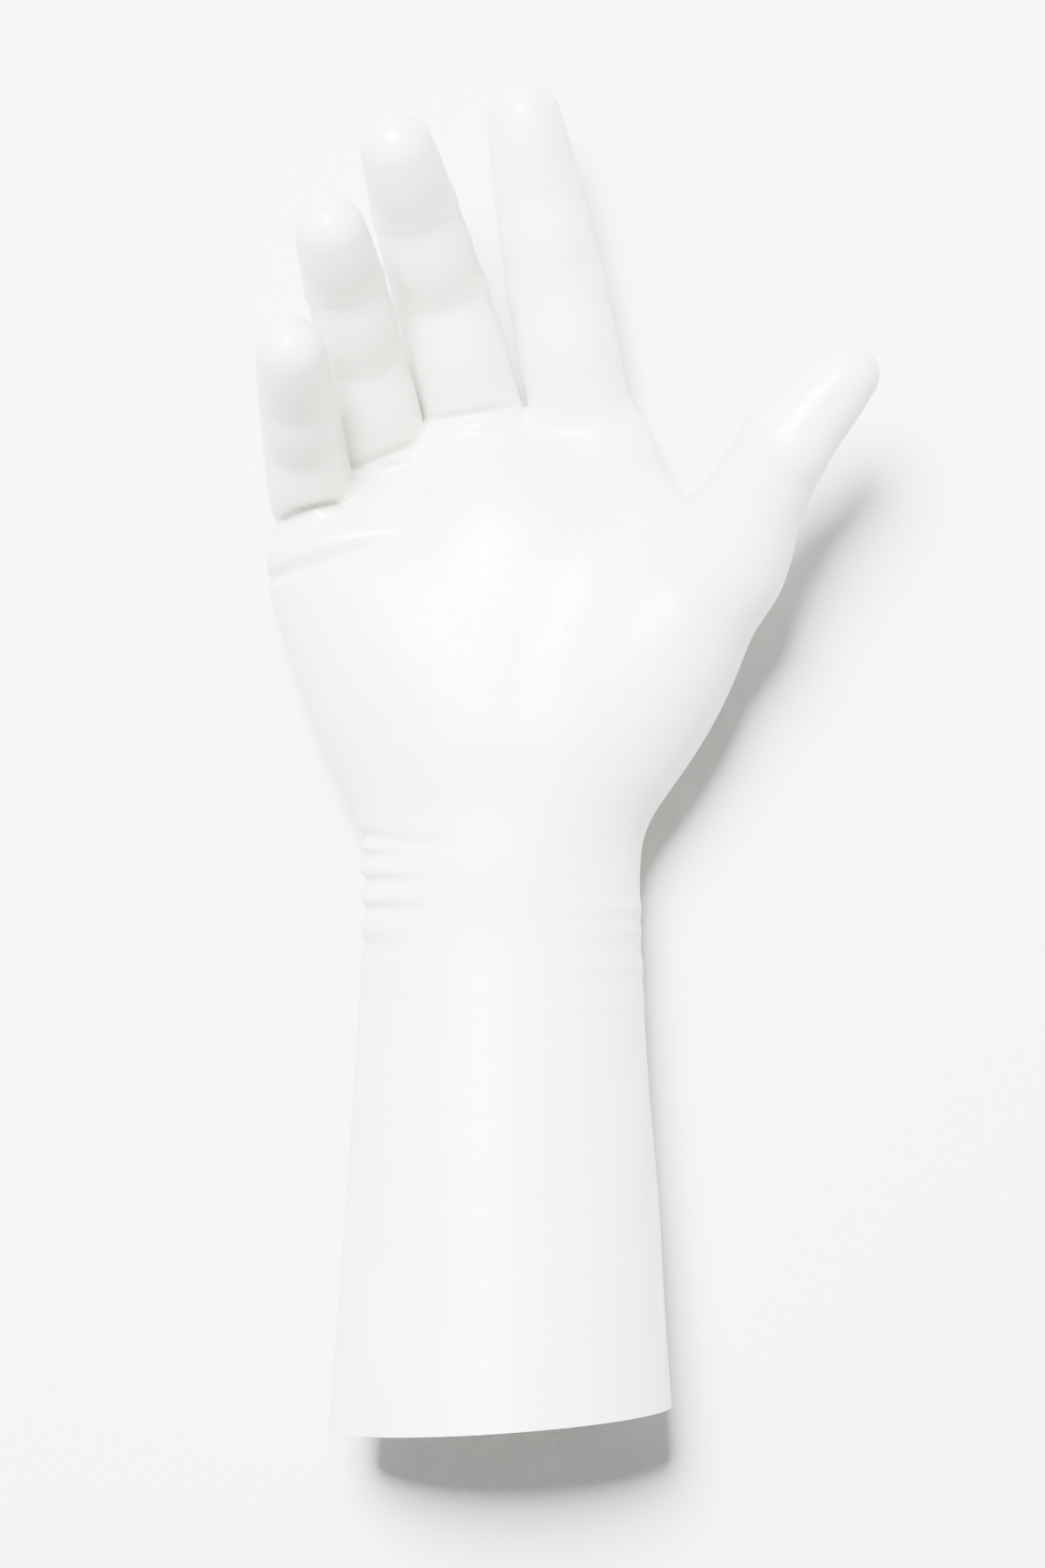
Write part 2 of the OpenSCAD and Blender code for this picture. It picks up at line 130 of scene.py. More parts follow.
class Digit:
    """A digit's joint centres and tip, and the widths at each of them."""

    def __init__(self, name, bends, widths, across=None):
        self.name = name
        self.bends = bends
        self.widths = widths
        raw = [joint_at(bend) for bend in bends]
        tip = node_points(f"{name}_tip")
        far = tip[np.argmax(np.linalg.norm(tip - raw[-1], axis=1))]
        points = raw + [far]
        ups = self.ups(points, across)
        # At its root a finger starts from the palm's own up, and the thumb from its first bone's
        if across is None:
            ups = [np.array([0, 0, 1.0])] + ups
        else:
            ups = ups[:1] + ups
        for i in range(len(raw)):
            points[i] = raw[i] - unit(ups[i] + ups[i + 1]) * AXIS_RISE * widths[i]
        self.points = points
        self.up = self.ups(points, across)

    def ups(self, points, across):
        """The palm-side direction of each bone."""
        found = []
        for start, end in zip(points, points[1:]):
            along = unit(end - start)
            side = unit(np.cross(along, (0, 0, 1))) if across is None else across
            found.append(unit(np.cross(side, along)))
        return found

    def along(self, bone):
        return unit(self.points[bone + 1] - self.points[bone])

    def place(self, bone, distance):
        """The point that lies this far along a bone from its joint."""
        return self.points[bone] + self.along(bone) * distance

    def length(self, bone):
        return float(np.linalg.norm(self.points[bone + 1] - self.points[bone]))


def finger(name, widths):
    return Digit(name, [f"{name}_{joint}_bend" for joint in ("root", "middle", "end")], widths)


INDEX = finger("index", [22.6, 21.6, 19.2, 15.5])
MIDDLE = finger("middle", [22.0, 20.7, 18.4, 15.3])
RING = finger("ring", [18.2, 17.8, 17.2, 14.6])
LITTLE = finger("little", [17.8, 17.3, 16.3, 14.2])
FINGERS = [INDEX, MIDDLE, RING, LITTLE]
THUMB = Digit("thumb", ["thumb_lower_bend", "thumb_end_bend"], [23.0, 20.5, 13.0],
              across=-unit(joints["thumb_lower_bend"]["axis"]))
DIGITS = FINGERS + [THUMB]


# ---------------------------------------------------------------- distance fields
# How far from its box a shape is still worked out. Every joining radius is shorter.
SHAPE_MARGIN = 16
# The grid's distance where there is no shape
FAR = 20


class Field:
    """A grid of distances. Each shape is worked out only in its own part of the grid."""

    def __init__(self, low, high):
        self.low = np.asarray(low, float)
        count = np.ceil((np.asarray(high, float) - self.low) / VOXEL).astype(int) + 1
        self.value = np.full(count, FAR, np.float32)

    def window(self, low, high):
        """The slices that hold a box, and the grid's coordinates in them."""
        first = np.floor((np.asarray(low) - self.low) / VOXEL).astype(int)
        last = np.ceil((np.asarray(high) - self.low) / VOXEL).astype(int) + 1
        first = np.maximum(first, 0)
        last = np.minimum(last, self.value.shape)
        part = tuple(slice(a, b) for a, b in zip(first, last))
        axes = [self.low[i] + VOXEL * np.arange(first[i], last[i]) for i in range(3)]
        x, y, z = np.meshgrid(*axes, indexing="ij", sparse=True)
        return part, (x, y, z)

    def add(self, shape, k):
        """Joins a shape on, rounding the corner between them over a radius of k."""
        low, high = shape.box()
        part, grid = self.window(low - SHAPE_MARGIN, high + SHAPE_MARGIN)
        self.value[part] = smooth_min(self.value[part], shape.distance(*grid), k)


def smooth_min(a, b, k):
    overlap = np.maximum(k - np.abs(a - b), 0) / k
    return np.minimum(a, b) - overlap * overlap * k / 4


def smooth_max(a, b, k):
    return -smooth_min(-a, -b, k)


def softened(value, reach, passes=3):
    """Blurs a grid with passes of a moving average that reaches this many cells each way."""
    width = 2 * reach + 1
    for _ in range(passes):
        for axis in range(3):
            ends = [(0, 0)] * 3
            ends[axis] = (reach + 1, reach)
            total = np.cumsum(np.pad(value, ends, mode="edge"), axis=axis)
            upper, lower = [slice(None)] * 3, [slice(None)] * 3
            upper[axis], lower[axis] = slice(width, None), slice(None, -width)
            value = (total[tuple(upper)] - total[tuple(lower)]) / width
    return value


class Limb:
    """A tapered limb with round ends, flattened along up."""

    def __init__(self, start, end, r_start, r_end, up=(0, 0, 1), flat=FLATNESS):
        self.start, self.end = np.asarray(start, float), np.asarray(end, float)
        self.r_start, self.r_end = r_start, r_end
        self.length = np.linalg.norm(self.end - self.start)
        self.along = (self.end - self.start) / self.length
        self.up = unit(up - np.dot(up, self.along) * self.along)
        self.side = np.cross(self.along, self.up)
        self.flat = flat

    def box(self):
        r = max(self.r_start, self.r_end)
        return np.minimum(self.start, self.end) - r, np.maximum(self.start, self.end) + r

    def distance(self, x, y, z):
        dx, dy, dz = x - self.start[0], y - self.start[1], z - self.start[2]
        run = dx * self.along[0] + dy * self.along[1] + dz * self.along[2]
        rise = (dx * self.up[0] + dy * self.up[1] + dz * self.up[2]) / self.flat
        wide = dx * self.side[0] + dy * self.side[1] + dz * self.side[2]
        out = np.sqrt(wide * wide + rise * rise)
        lean = (self.r_start - self.r_end) / self.length
        upright = math.sqrt(1 - lean * lean)
        slide = run * upright - out * lean
        near = np.sqrt(out * out + run * run) - self.r_start
        beyond = np.sqrt(out * out + (run - self.length) ** 2) - self.r_end
        flank = out * upright + run * lean - self.r_start
        return np.where(slide < 0, near, np.where(slide > upright * self.length, beyond, flank))


class Mound:
    """An ellipsoid. Its axes are given by a direction and an up direction."""

    def __init__(self, centre, radii, along=(0, 1, 0), up=(0, 0, 1)):
        self.centre, self.radii = np.asarray(centre, float), np.asarray(radii, float)
        self.along = unit(along)
        self.up = unit(np.asarray(up, float) - np.dot(up, self.along) * self.along)
        self.side = np.cross(self.along, self.up)

    def box(self):
        return self.centre - self.radii.max(), self.centre + self.radii.max()

    def distance(self, x, y, z):
        dx, dy, dz = x - self.centre[0], y - self.centre[1], z - self.centre[2]
        share = [
            (dx * axis[0] + dy * axis[1] + dz * axis[2]) / radius
            for axis, radius in zip((self.side, self.along, self.up), self.radii)
        ]
        size = np.sqrt(share[0] ** 2 + share[1] ** 2 + share[2] ** 2) + TINY
        slope = np.sqrt(sum((s / radius) ** 2 for s, radius in zip(share, self.radii))) + TINY
        return size * (size - 1) / slope


# How far the arm's tube goes on into the palm, and the radius of its rounded end
ARM_REACH = 31
ARM_END_RADIUS = 16
# The tube goes on past the cuff's edge, where it is cut off
ARM_SPARE = 12
ARM_SPARE_SHARE = 1.2
# Above 1, the arm swells late
ARM_SWELL = 1.15


class Arm:
    """The wrist and forearm: an oval tube along y that swells towards the cuff's edge."""

    def __init__(self, neck, mouth, start, length):
        self.neck, self.mouth = np.asarray(neck, float), np.asarray(mouth, float)
        self.start, self.length = start, length

    def box(self):
        half = self.mouth[0] / 2
        return (np.array([wrist[0] - half, self.start - self.length - ARM_SPARE, 0]),
                np.array([wrist[0] + half, self.start + ARM_REACH, self.mouth[1]]))

    def distance(self, x, y, z):
        share = np.clip((self.start - y) / self.length, 0, ARM_SPARE_SHARE)
        swell = share ** ARM_SWELL
        a = (self.neck[0] + (self.mouth[0] - self.neck[0]) * swell) / 2
        b = (self.neck[1] + (self.mouth[1] - self.neck[1]) * swell) / 2
        u, v = (x - wrist[0]) / a, (z - b) / b
        size = np.sqrt(u * u + v * v) + TINY
        slope = np.sqrt((u / a) ** 2 + (v / b) ** 2) + TINY
        return smooth_max(size * (size - 1) / slope, y - self.start - ARM_REACH, ARM_END_RADIUS)


# A pad's rise towards the palm side and its radii, as shares of the bone's mean radius.
# Its radius along the bone is a share of the bone's length.
PAD_RISE = 0.14
PAD_SIDE, PAD_ALONG, PAD_UP = 0.72, 0.45, 0.78
# The pad of the tip sits this much nearer to the end
TIP_PAD_SHIFT = 1.5
# A nail's place back from the tip and below it, and its radii, as shares of the tip's radius
NAIL_BACK, NAIL_DROP = 0.12, 0.62
NAIL_RADII = np.array([0.72, 1.0, 0.36])
# The radii over which bones, pads and nails join
BONE_JOIN, PAD_JOIN, NAIL_JOIN = 1.5, 5.0, 0.8


def build_digit(field, digit):
    """The bones of a digit with the soft pads between its creases."""
    last = len(digit.bends) - 1
    for bone in range(last + 1):
        up, along = digit.up[bone], digit.along(bone)
        r_start = digit.widths[bone] / 2
        r_end = digit.widths[bone + 1] / 2
        end = digit.points[bone + 1]
        if bone == last:
            end = end - along * r_end
        field.add(Limb(digit.points[bone], end, r_start, r_end, up), BONE_JOIN)
        middle = (digit.points[bone] + end) / 2
        r_pad = (r_start + r_end) / 2
        shift = TIP_PAD_SHIFT if bone == last else 0
        radii = (r_pad * PAD_SIDE, digit.length(bone) * PAD_ALONG, r_pad * PAD_UP)
        pad = Mound(middle + up * r_pad * PAD_RISE + along * shift, radii, along, up)
        field.add(pad, PAD_JOIN)
    # The nail shows through the film as a low oval on the back of the tip
    spot = end - along * r_end * NAIL_BACK - up * r_end * NAIL_DROP
    field.add(Mound(spot, r_end * NAIL_RADII, along, up), NAIL_JOIN)


def palm_shapes():
    """Each shape of the palm's flesh, given from the wrist's centre, with its joining radius."""
    roots = [digit.points[0] for digit in FINGERS]
    # The four bones of the palm, each from the wrist to just short of a finger's root
    yield Limb(hand(12, 26, 20), roots[0] - (-5, 11.5, 0), 20, 13.2, flat=0.80), 14
    yield Limb(hand(2, 26, 20), roots[1] - (0, 17, 0), 21, 16.5, flat=0.76), 14
    yield Limb(hand(-8, 26, 20), roots[2] - (-2, 20, 0), 21, 14.5, flat=0.76), 14
    yield Limb(hand(-11, 24, 18), roots[3] - (-1, 16, 0), 18, 10.8, flat=0.95), 14
    # The little finger's side of the palm, then its centre
    yield Mound(hand(-25.2, 44, 16), (16.8, 34, 15.6), along=(-0.28, 1, 0)), 12
    yield Mound(hand(3, 50, 22), (28, 38, 15.4)), 14
    # The thumb's bone and the ball of muscle over it
    yield Limb(hand(14, 18, 23), THUMB.points[0], 15, 12.4, up=THUMB.up[0]), 14
    yield Mound(hand(31, 46, 23), (18.5, 31, 18), along=(0.40, 0.91, 0.1)), 12
    # The web between the thumb and the index finger
    yield Limb(hand(20, 60, 17), hand(37, 66, 22), 14, 9.6), 12
    yield Limb(hand(20, 56, 15), hand(32.5, 79, 16), 13, 6.4), 8


FINGER_GAP = 1.5
# Room around the CAD box in the grid
GRID_MARGIN = 6
# The radii over which the arm, the palm and the digits join
ARM_JOIN, PALM_JOIN, THUMB_JOIN, FINGER_JOIN = 1, 6, 9, 3.5
# The blur's reach in cells, and what it is let in by afterwards
SKIN_REACH = 4
SKIN_OFFSET = 0.35
# The height of the underside and the radius of its edge
UNDERSIDE = 0.05
UNDERSIDE_RADIUS = 2.0


def keep_apart(one, other):
    """Presses two neighbours flat where they would come closer than the gap."""
    between = (one.value - other.value) / 2
    one.value = np.maximum(one.value, between + FINGER_GAP / 2)
    other.value = np.maximum(other.value, FINGER_GAP / 2 - between)


def cuff_edge():
    """The y of the cuff's edge on its long side."""
    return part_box("cuff")[0][1] / MM


def glove_field():
    """The whole glove, and each digit by itself."""
    low, high = (np.array(corner) / MM for corner in cad_box)
    low, high = low - GRID_MARGIN, high + GRID_MARGIN
    whole = Field(low, high)
    neck = node_size("wrist_band")
    mouth = node_size("cuff")
    start = joint_at("wrist_side_bend")[1]
    arm = Arm((neck[0], neck[2]), (mouth[0], mouth[2]), start, start - cuff_edge())
    whole.add(arm, ARM_JOIN)
    palm = Field(low, high)
    for shape, k in palm_shapes():
        palm.add(shape, k)
    whole.value = smooth_min(whole.value, palm.value, PALM_JOIN)
    # Skin and film bridge the hollows between the muscles
    whole.value = softened(whole.value, SKIN_REACH) - SKIN_OFFSET
    alone = {}
    for digit in DIGITS:
        field = Field(low, high)
        build_digit(field, digit)
        alone[digit.name] = field
    for left, right in zip(FINGERS, FINGERS[1:]):
        keep_apart(alone[left.name], alone[right.name])
    together = whole.value.copy()
    for digit in DIGITS:
        k = THUMB_JOIN if digit is THUMB else FINGER_JOIN
        together = np.minimum(together, smooth_min(whole.value, alone[digit.name].value, k))
    whole.value = together
    # The underside is pressed flat where the glove lies on it
    z = whole.window(low, high)[1][2]
    whole.value = smooth_max(whole.value, UNDERSIDE - z, UNDERSIDE_RADIUS)
    return whole, alone


def surface_of(field):
    grid = vdb.FloatGrid(float(field.value.max()))
    grid.copyFromArray(field.value.astype(np.float32))
    points, quads = grid.convertToQuads(isovalue=0.0)
    return points * VOXEL + field.low, quads.astype(np.int64)


# Each round of smoothing shrinks by the first share and swells back by the second
SMOOTH_ROUNDS = 4
SMOOTH_STEPS = (0.55, -0.57)


def smoothed(points, quads):
    """Evens out the grid's steps."""
    a = quads.ravel()
    b = np.roll(quads, -1, axis=1).ravel()
    count = np.bincount(np.concatenate([a, b]), minlength=len(points))[:, None]
    for _ in range(SMOOTH_ROUNDS):
        for amount in SMOOTH_STEPS:
            total = np.zeros_like(points)
            for i in range(3):
                total[:, i] = np.bincount(a, points[b, i], len(points))
                total[:, i] += np.bincount(b, points[a, i], len(points))
            points = points + amount * (total / count - points)
    return points


# ---------------------------------------------------------------- folds in the film
# A fold starts to rise just before its line, is full just past its lead, and is gone just
# past its end
FADE_START, FADE_PAST, FADE_END = -0.08, 1e-3, 1.01


class Fold:
    """A crease or a roll in the film over a line on the palm side. Its ends fade out.
    Points are x and y from the wrist's centre. A positive height is a roll. The fade is
    the share of the line over which each end fades, and sag bows the line sideways."""

    def __init__(self, start, end, width, height, fade=(0.0, 0.6), sag=0.0):
        self.start, self.end = np.array(start, float), np.array(end, float)
        self.width, self.height, self.fade, self.sag = width, height, fade, sag

    def lift(self, points):
        flat = points[:, :2] - wrist[:2] - self.start
        line = self.end - self.start
        length = np.linalg.norm(line)
        line = line / length
        along = (flat @ line) / length
        across = flat @ np.array([-line[1], line[0]]) - self.sag * 4 * along * (1 - along)
        lead, tail = self.fade
        rise = ramp(along, FADE_START, lead + FADE_PAST)
        fall = 1 - ramp(along, 1 - tail, FADE_END)
        return self.height * rise * fall * np.exp(-((across / self.width) ** 2))


def ramp(value, low, high):
    """Rises smoothly from 0 at low to 1 at high."""
    share = np.clip((value - low) / (high - low), 0, 1)
    return share * share * (3 - 2 * share)


# The wrist is bent back a little, so the film folds on its little-finger side
WRIST_FOLDS = [
    # The film's long pleat down the thumb side of the cuff
    Fold((33.2, -46), (35.6, -116), 0.6, 0.45, fade=(0.2, 0.2)),
    # Slack rolls on the thumb side
    Fold((8, -7.4), (38, -8.6), 1.7, 0.35, fade=(0.5, 0.0)),
    Fold((10, -12.4), (38, -13.6), 1.5, 0.3, fade=(0.5, 0.0)),
    Fold((6, -19.4), (38, -21.4), 2.0, 0.35, fade=(0.5, 0.0)),
    Fold((2, -30.0), (38, -27.0), 2.4, 0.2, fade=(0.5, 0.0)),
    # Creases and the rolls between them on the little finger's side
    Fold((-38, 9.0), (-6, 6.6), 1.5, -1.3, fade=(0, 0.75), sag=-1.4),
    Fold((-38, 5.6), (-15, 5.2), 1.6, 0.7, fade=(0, 0.7)),
    Fold((-38, 2.6), (-17, 3.4), 1.2, -1.2, sag=0.4),
    Fold((-38, -0.2), (-15, 0.2), 1.4, 0.6),
    Fold((-38, -3.0), (-14, -2.2), 1.2, -1.2, sag=0.5),
    Fold((-38, -6.2), (-16, -6.0), 1.5, 0.6),
    Fold((-38, -9.3), (-11, -8.2), 1.3, -1.0, sag=0.6),
    Fold((-38, -12.8), (-18, -12.4), 1.6, 0.4),
    Fold((-38, -17.0), (-19, -16.0), 1.7, -0.8, sag=0.4),
]
# The curled fingers push the film up into creases and rolls at their bases
PALM_FOLDS = [
    Fold((-54, 63.2), (-14, 75.2), 1.3, -1.7, fade=(0, 0.7)),
    Fold((-54, 69.0), (-16, 77.0), 3.0, 1.7, fade=(0, 0.6)),
    Fold((-54, 76.2), (-31, 81.8), 1.0, -2.4, fade=(0, 0.2), sag=-0.6),
    Fold((-34, 87.9), (-15, 95.6), 1.1, -1.1, fade=(0.1, 0.3), sag=-0.9),
    Fold((-28, 87.4), (-11, 90.8), 1.0, -0.8, fade=(0.3, 0.6)),
    Fold((-33, 85.6), (-14, 88.4), 1.8, 0.6, fade=(0.3, 0.5)),
    Fold((-17, 98.6), (5.5, 102.6), 1.1, -1.1, fade=(0.15, 0.3), sag=-0.9),
    Fold((-16, 95.8), (4, 98.6), 1.8, 0.6, fade=(0.3, 0.5)),
]


# Wrinkles on the back of a finger joint and the crease on its palm side
WRINKLE_STEP = 2.9
WRINKLE_REACH = 4.2
WRINKLE_DEPTH = 0.22
CREASE_DEPTH = 0.13
CREASE_WIDTH = 1.3
# Wrinkles and creases come in where the surface turns this far towards their side
FACING = (0.2, 0.8)
# Folds come in between these heights, and palm folds between these upward slopes too
FOLD_HEIGHTS = (6, 16)
PALM_SLOPES = (-0.3, 0.5)


def surface_normals(points, quads):
    cross = np.cross(points[quads[:, 2]] - points[quads[:, 0]],
                     points[quads[:, 3]] - points[quads[:, 1]])
    normals = np.zeros_like(points)
    for i in range(3):
        for corner in range(4):
            normals[:, i] += np.bincount(quads[:, corner], cross[:, i], len(points))
    return normals / np.linalg.norm(normals, axis=1)[:, None]


def knuckle_lift(points, normals, nearest):
    """Fine wrinkles over the back of each finger joint and one crease on its palm side."""
    lift = np.zeros(len(points))
    for number, digit in enumerate(DIGITS):
        own = nearest == number
        for joint in range(1, len(digit.bends)):
            along = unit(digit.along(joint - 1) + digit.along(joint))
            up = unit(digit.up[joint - 1] + digit.up[joint])
            run = (points[own] - digit.points[joint]) @ along
            facing = normals[own] @ up
            waves = np.cos(run * 2 * math.pi / WRINKLE_STEP)
            wrinkles = waves * np.exp(-(run / WRINKLE_REACH) ** 2)
            crease = np.exp(-(run / CREASE_WIDTH) ** 2)
            lift[own] -= WRINKLE_DEPTH * wrinkles * ramp(-facing, *FACING)
            lift[own] -= CREASE_DEPTH * crease * ramp(facing, *FACING)
    return lift


def folded(points, quads, alone):
    """The surface with the folds raised or sunk along its normals."""
    normals = surface_normals(points, quads)
    lift = knuckle_lift(points, normals, nearest_digit(points, alone))
    raised = ramp(points[:, 2], *FOLD_HEIGHTS)
    for fold in WRIST_FOLDS:
        lift += fold.lift(points) * raised
    palm_side = ramp(normals[:, 2], *PALM_SLOPES) * raised
    for fold in PALM_FOLDS:
        lift += fold.lift(points) * palm_side
    return points + normals * lift[:, None]


# ---------------------------------------------------------------- pieces
class Zone:
    """A stretch of film between two parallel planes, where the film goes from body a to body b."""

    def __init__(self, name, a, b, start, end, parent, digit=None):
        self.name, self.a, self.b = name, a, b
        self.start, self.end = np.asarray(start, float), np.asarray(end, float)
        self.normal = unit(self.end - self.start)
        self.parent, self.digit = parent, digit


# How far beyond its root joint a finger's film starts to bend, and over what length
ROOT_ZONES = {"index": (5.0, 12.0), "middle": (4.0, 12.0), "ring": (5.0, 9.0),
              "little": (4.0, 6.6)}
# How far to each side of a finger's other joints its film bends
MIDDLE_HALF = {"index": 8.0, "middle": 8.0, "ring": 7.0, "little": 5.5}
END_HALF = {"index": 7.0, "middle": 7.5, "ring": 7.0, "little": 6.0}
# Where the palm's film starts and stops bending for the thumb: a line in plan
THUMB_LINE = np.array([0.995, 0.098, 0.0])
THUMB_START, THUMB_RUN = 42.2, 7.5
# Where the film bends for the thumb's two other joints: from and to these distances along
# its first bone, then from the first bone to the second
THUMB_LOWER = (8, 19.5)
THUMB_END = (21, 8)
# The wrist bends sideways, then towards the palm, between these places along y
WRIST_STOPS = (-27, -5, 24)
# The cuff's edge slants across its width, and crosses the wrist's middle this far in
CUFF_SLANT = 5 / 75
CUFF_TRIM = 2.5
# A point farther than this from every digit belongs to none
DIGIT_REACH = 6
# Points this near to a cutting plane are taken to be on it
CUT_TOLERANCE = 1e-4


def finger_zones(digit):
    """The zones of one finger, from the palm to the tip."""
    name = digit.name
    plan = unit(digit.along(0) * (1, 1, 0))
    lean = unit(plan + digit.along(0))
    reach, run = ROOT_ZONES[name]
    start = digit.points[0] + lean * reach
    yield Zone(f"{name}_root", "palm", f"{name}_lower_sleeve", start, start + lean * run,
               "palm", digit)
    half = MIDDLE_HALF[name]
    yield Zone(f"{name}_middle", f"{name}_lower_sleeve", f"{name}_middle_sleeve",
               digit.place(0, digit.length(0) - half), digit.place(1, half), f"{name}_root", digit)
    half = END_HALF[name]
    yield Zone(f"{name}_end", f"{name}_middle_sleeve", f"{name}_tip",
               digit.place(1, digit.length(1) - half), digit.place(2, half),
               f"{name}_middle", digit)


def zones():
    """Every zone, in the order in which they are cut from the glove."""
    yield Zone("wrist_side", "cuff", "wrist_band", hand(0, WRIST_STOPS[0], 0),
               hand(0, WRIST_STOPS[1], 0), "cuff")
    yield Zone("wrist_palm", "wrist_band", "palm", hand(0, WRIST_STOPS[1], 0),
               hand(0, WRIST_STOPS[2], 0), "wrist_side")
    yield Zone("palm", None, "palm", hand(0, WRIST_STOPS[2], 0),
               hand(0, WRIST_STOPS[2] + 1, 0), "wrist_palm")
    for digit in FINGERS:
        yield from finger_zones(digit)
    foot = wrist * (1, 1, 0) + THUMB_LINE * THUMB_START
    yield Zone("thumb_base", "palm", "thumb_base", foot, foot + THUMB_LINE * THUMB_RUN, "palm")
    yield Zone("thumb_lower", "thumb_base", "thumb_lower_sleeve", THUMB.place(0, THUMB_LOWER[0]),
               THUMB.place(0, THUMB_LOWER[1]), "thumb_base", THUMB)
    yield Zone("thumb_end", "thumb_lower_sleeve", "thumb_tip", THUMB.place(0, THUMB_END[0]),
               THUMB.place(1, THUMB_END[1]), "thumb_lower", THUMB)


def nearest_digit(points, alone):
    """For each point, the number of the digit that it is nearest to, or -1 for none."""
    distances = []
    for field in alone.values():
        spot = np.rint((points - field.low) / VOXEL).astype(int)
        spot = np.clip(spot, 0, np.array(field.value.shape) - 1)
        distances.append(field.value[tuple(spot.T)])
    distances = np.array(distances)
    nearest = np.argmin(distances, axis=0)
    nearest[distances.min(axis=0) > DIGIT_REACH] = -1
    return nearest


def divided(points, quads, alone):
    """Cuts the surface at the zones' planes and labels each face with its piece."""
    mesh = bpy.data.meshes.new("whole")
    mesh.from_pydata(points.tolist(), [], quads.tolist())
    bm = bmesh.new()
    bm.from_mesh(mesh)
    bpy.data.meshes.remove(mesh)
    edge = (wrist[0], cuff_edge() + CUFF_TRIM, 0)
    everything = bm.verts[:] + bm.edges[:] + bm.faces[:]
    bmesh.ops.bisect_plane(bm, geom=everything, plane_co=edge, dist=CUT_TOLERANCE,
                           plane_no=(CUFF_SLANT, -1, 0), clear_outer=True)
    whose = bm.faces.layers.int.new("digit")
    label = bm.faces.layers.int.new("piece")
    centres = np.array([face.calc_center_median() for face in bm.faces])
    for face, digit in zip(bm.faces, nearest_digit(centres, alone)):
        face[whose] = int(digit)
    names = ["cuff"]
    digits = [digit.name for digit in DIGITS]
    for zone in zones():
        names.append(zone.name)
        parent = names.index(zone.parent)
        owner = digits.index(zone.digit.name) if zone.digit else None
        faces = [f for f in bm.faces
                 if f[label] == parent and (owner is None or f[whose] == owner)]
        geom = set(faces)
        for face in faces:
            geom.update(face.verts)
            geom.update(face.edges)
        bmesh.ops.bisect_plane(bm, geom=list(geom), plane_co=zone.start, dist=CUT_TOLERANCE,
                               plane_no=zone.normal)
        start, normal = Vector(zone.start), Vector(zone.normal)
        for face in bm.faces:
            if face[label] == parent and (owner is None or face[whose] == owner):
                if (face.calc_center_median() - start).dot(normal) > 0:
                    face[label] = len(names) - 1
    bm.normal_update()
    return bm, names, label


def build_piece(name, faces, points, normals, material):
    """A closed piece of film: its outside, its lining and the rims between them."""
    used = sorted({v for face in faces for v in face})
    place = {v: i for i, v in enumerate(used)}
    count = len(used)
    outer = [[place[v] for v in face] for face in faces]
    lining = [[v + count for v in reversed(face)] for face in outer]
    sides = dict.fromkeys((a, b) for face in outer for a, b in zip(face, face[1:] + face[:1]))
    rims = [(b, a, a + count, b + count) for a, b in sides if (b, a) not in sides]
    skin = points[used]
    out = normals[used]
    mesh = bpy.data.meshes.new(name)
    coordinates = np.vstack([skin, skin - out * FILM]) * MM
    mesh.from_pydata(coordinates.tolist(), [], outer + lining + [list(r) for r in rims])
    mesh.polygons.foreach_set("use_smooth", np.ones(len(mesh.polygons), bool))
    corner_normals = []
    for face in outer:
        corner_normals.extend(out[v] for v in face)
    for face in lining:
        corner_normals.extend(-out[v - count] for v in face)
    for b, a, c, d in rims:
        flat = unit(np.cross(coordinates[a] - coordinates[b], coordinates[d] - coordinates[b]))
        corner_normals.extend([flat] * 4)
    mesh.normals_split_custom_set(np.array(corner_normals).tolist())
    mesh.materials.append(material)
    piece = bpy.data.objects.new(name, mesh)
    bpy.context.scene.collection.objects.link(piece)
    return piece


HAND_NODES = {
    "cuff": ["cuff"],
    "wrist_side": ["wrist_side_crease"],
    "wrist_palm": ["wrist_band", "wrist_palm_crease"],
    "palm": ["palm"],
    "thumb_base": ["thumb_base_crease", "thumb_base"],
}
DIGIT_BODIES = {"root": "lower_sleeve", "lower": "lower_sleeve", "middle": "middle_sleeve",
                "end": "tip"}


def replaced_nodes(name):
    """The CAD nodes that a piece stands for."""
    if name in HAND_NODES:
        return HAND_NODES[name]
    digit, joint = name.split("_")
    return [f"{digit}_{joint}_crease", f"{digit}_{DIGIT_BODIES[joint]}"]


# ---------------------------------------------------------------- material
class Nodes:
    """A short way to add nodes to a material and link them."""

    def __init__(self, name):
        self.material = bpy.data.materials.new(name)
        self.material.use_nodes = True
        self.tree = self.material.node_tree
        self.shader = self.tree.nodes["Principled BSDF"]

    def add(self, kind, settings=None, **values):
        """A new node. Settings are its own properties and values are its inputs."""
        node = self.tree.nodes.new(kind)
        for key, value in (settings or {}).items():
            setattr(node, key, value)
        for key, value in values.items():
            socket = node.inputs[key.replace("_", " ")]
            if isinstance(value, bpy.types.NodeSocket):
                self.tree.links.new(value, socket)
            else:
                socket.default_value = value
        return node

    def noise(self, place, scale, detail=2.0, roughness=0.5, distortion=0.0):
        return self.add("ShaderNodeTexNoise", Vector=place, Scale=scale, Detail=detail,
                        Roughness=roughness, Distortion=distortion).outputs["Fac"]

    def spread(self, value, low, high, to_low, to_high):
        """Maps a value's range to another one, and clamps it."""
        node = self.add("ShaderNodeMapRange", Value=value)
        for key, number in (("From Min", low), ("From Max", high),
                            ("To Min", to_low), ("To Max", to_high)):
            node.inputs[key].default_value = number
        return node.outputs["Result"]

    def bump(self, height, distance, below=None):
        """Relief of this depth in metres, over the relief below it."""
        values = {"Height": height, "Strength": 1.0, "Distance": distance}
        if below:
            values["Normal"] = below
        return self.add("ShaderNodeBump", **values).outputs["Normal"]


